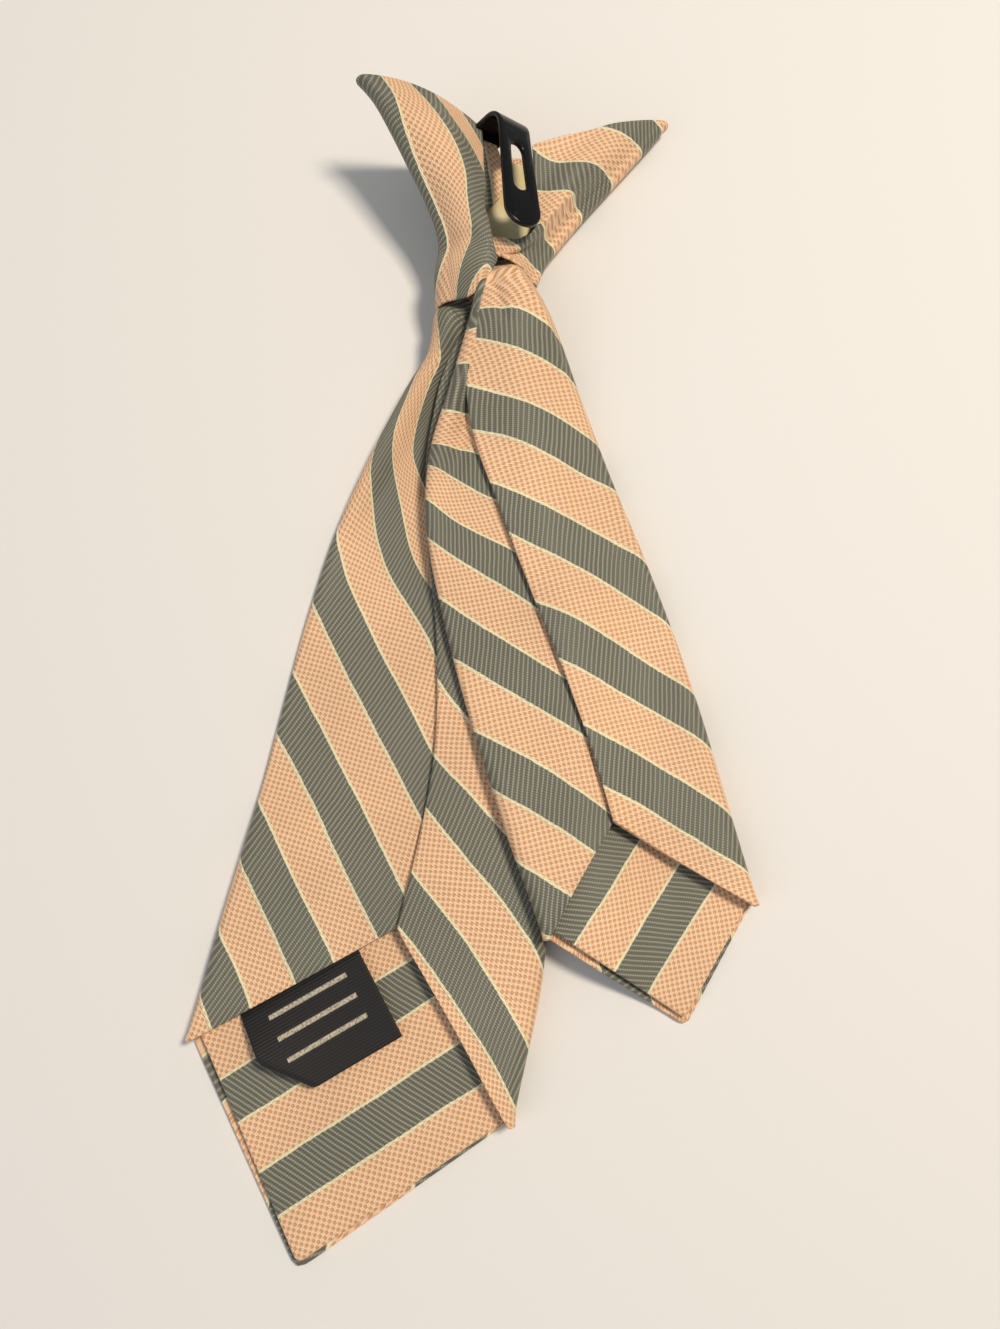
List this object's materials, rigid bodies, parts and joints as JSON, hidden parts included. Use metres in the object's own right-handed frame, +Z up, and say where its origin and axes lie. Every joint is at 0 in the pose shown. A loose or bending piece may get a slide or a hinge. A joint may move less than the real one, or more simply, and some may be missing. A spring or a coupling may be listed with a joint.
{
  "type": "clip-on tie",
  "caption": "Child's clip-on tie, striped peach and grey jacquard, lying face down with its ready-made knot, two blades, woven tag and black steel collar clip showing.",
  "frame": {"origin": "on the table, under the middle of the tie's outline", "axes": "+Y from the blades' points towards the knot, +Z up from the table to the tie's back, +X to the right as seen from above"},
  "size_m": [0.0916, 0.198, 0.0212],
  "materials": {
    "striped_cloth": "soft satin, woven in peach and grey stripes with cream lines",
    "woven_label": "matte, woven",
    "cream_plastic": "smooth, slightly see-through",
    "black_steel": "gloss"
  },
  "bodies": {
    "root": {"wide_blade": "striped_cloth", "wide_facing": "striped_cloth", "narrow_blade": "striped_cloth", "narrow_facing": "striped_cloth", "care_label": "woven_label", "knot_wrap": "striped_cloth", "knot_former": "cream_plastic", "collar_clip": "black_steel"}
  },
  "joints": []
}
